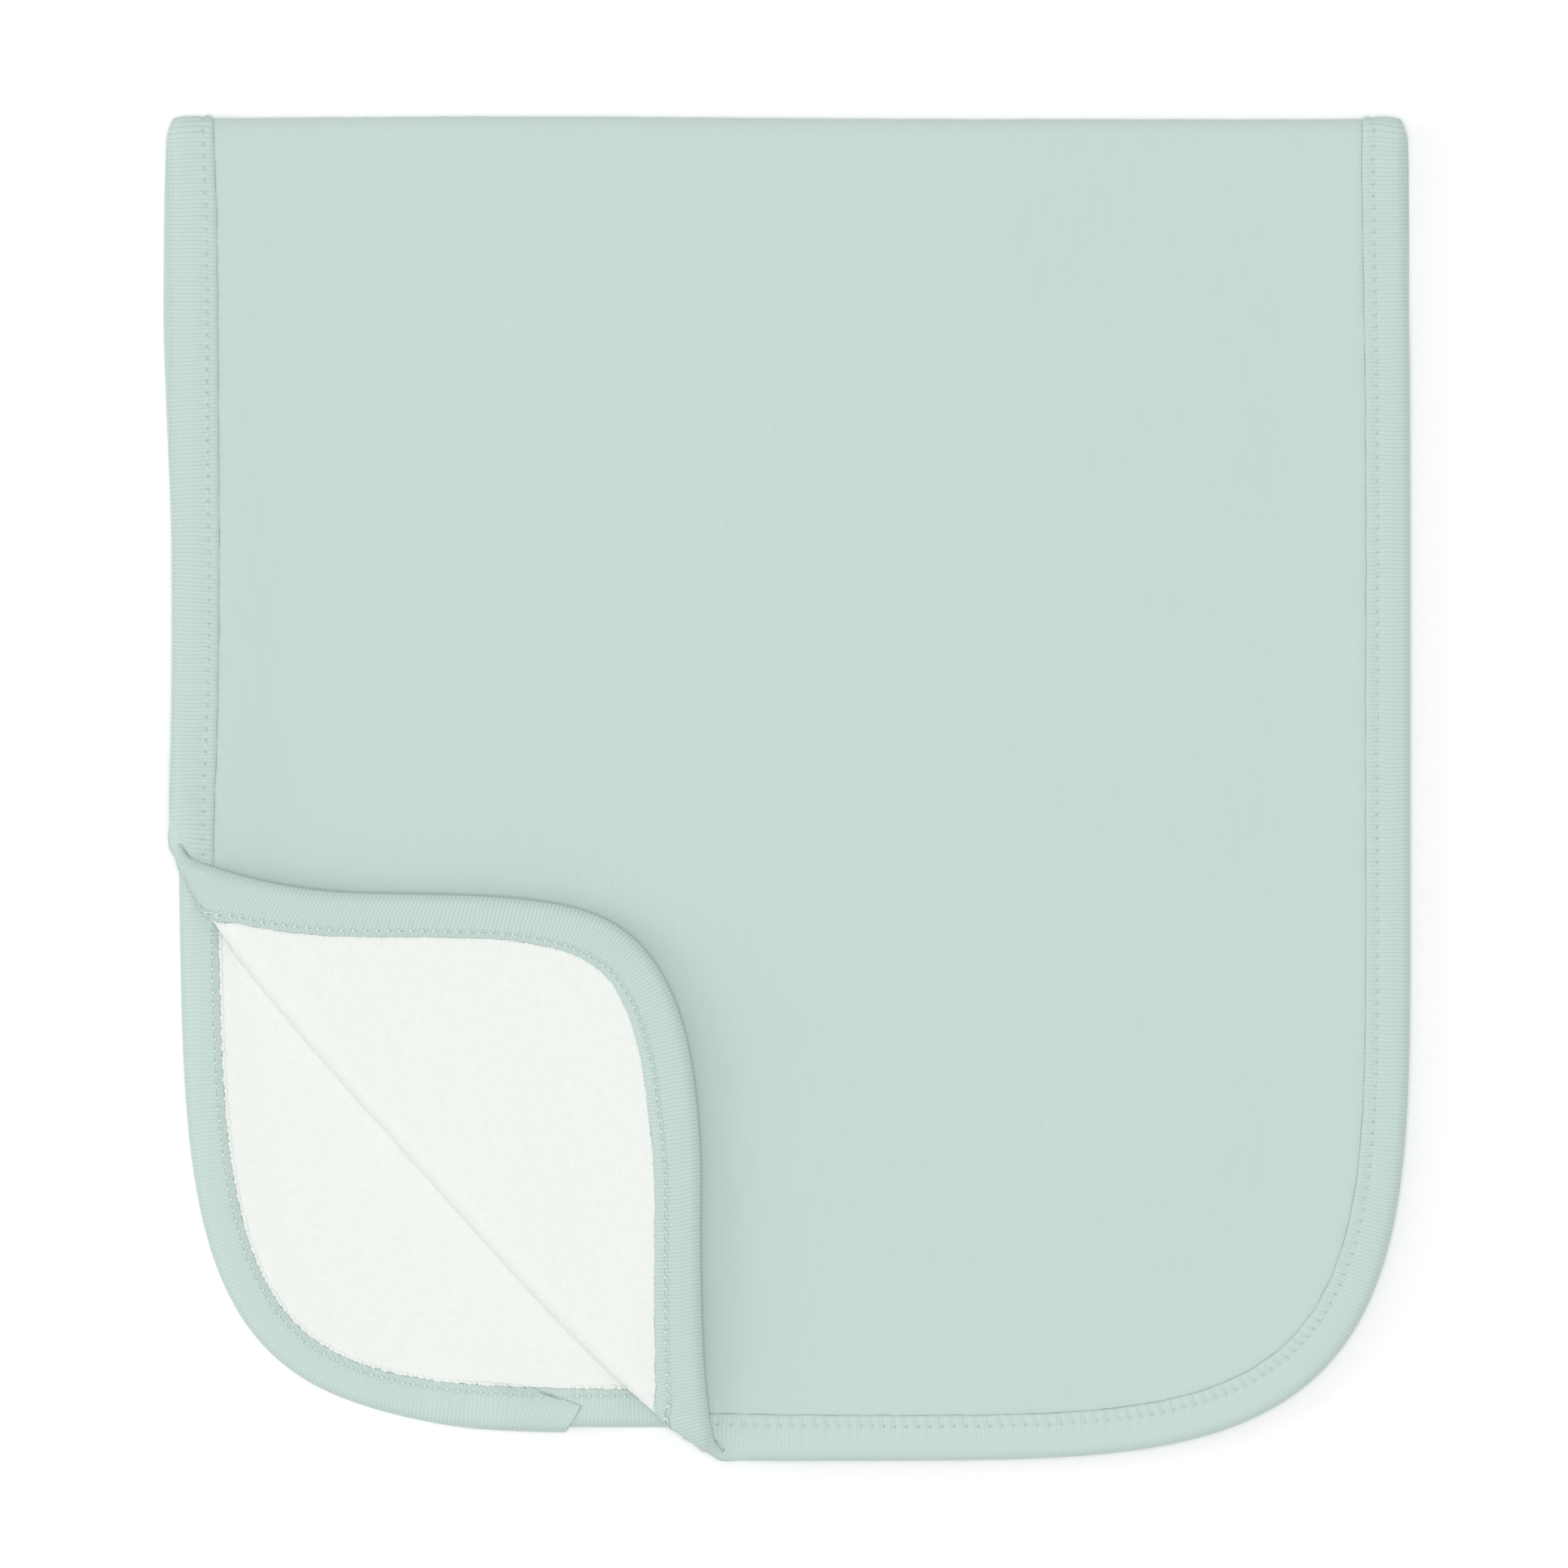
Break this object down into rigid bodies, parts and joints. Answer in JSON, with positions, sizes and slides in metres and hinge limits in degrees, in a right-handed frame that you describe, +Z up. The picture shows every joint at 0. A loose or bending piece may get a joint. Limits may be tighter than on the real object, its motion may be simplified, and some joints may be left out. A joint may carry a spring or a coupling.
{
  "type": "burp cloth",
  "caption": "Folded burp cloth of mint jersey with a white brushed lining, bound all round with rib tape, one front corner turned back.",
  "frame": {"origin": "on the surface that the cloth rests on, under the middle of the folded cloth", "axes": "+Z up out of the surface, +Y towards the fold, +X to the right of the front seen from above"},
  "size_m": [0.2404, 0.259, 0.0113],
  "materials": {
    "outer_jersey": "mint cotton jersey, matt",
    "lining_terry": "white brushed terry, soft",
    "rib_tape": "mint rib-knit tape, matt"
  },
  "bodies": {
    "root": {"outer_panel": "outer_jersey", "lining_panel": "lining_terry", "binding": "rib_tape"}
  },
  "joints": []
}
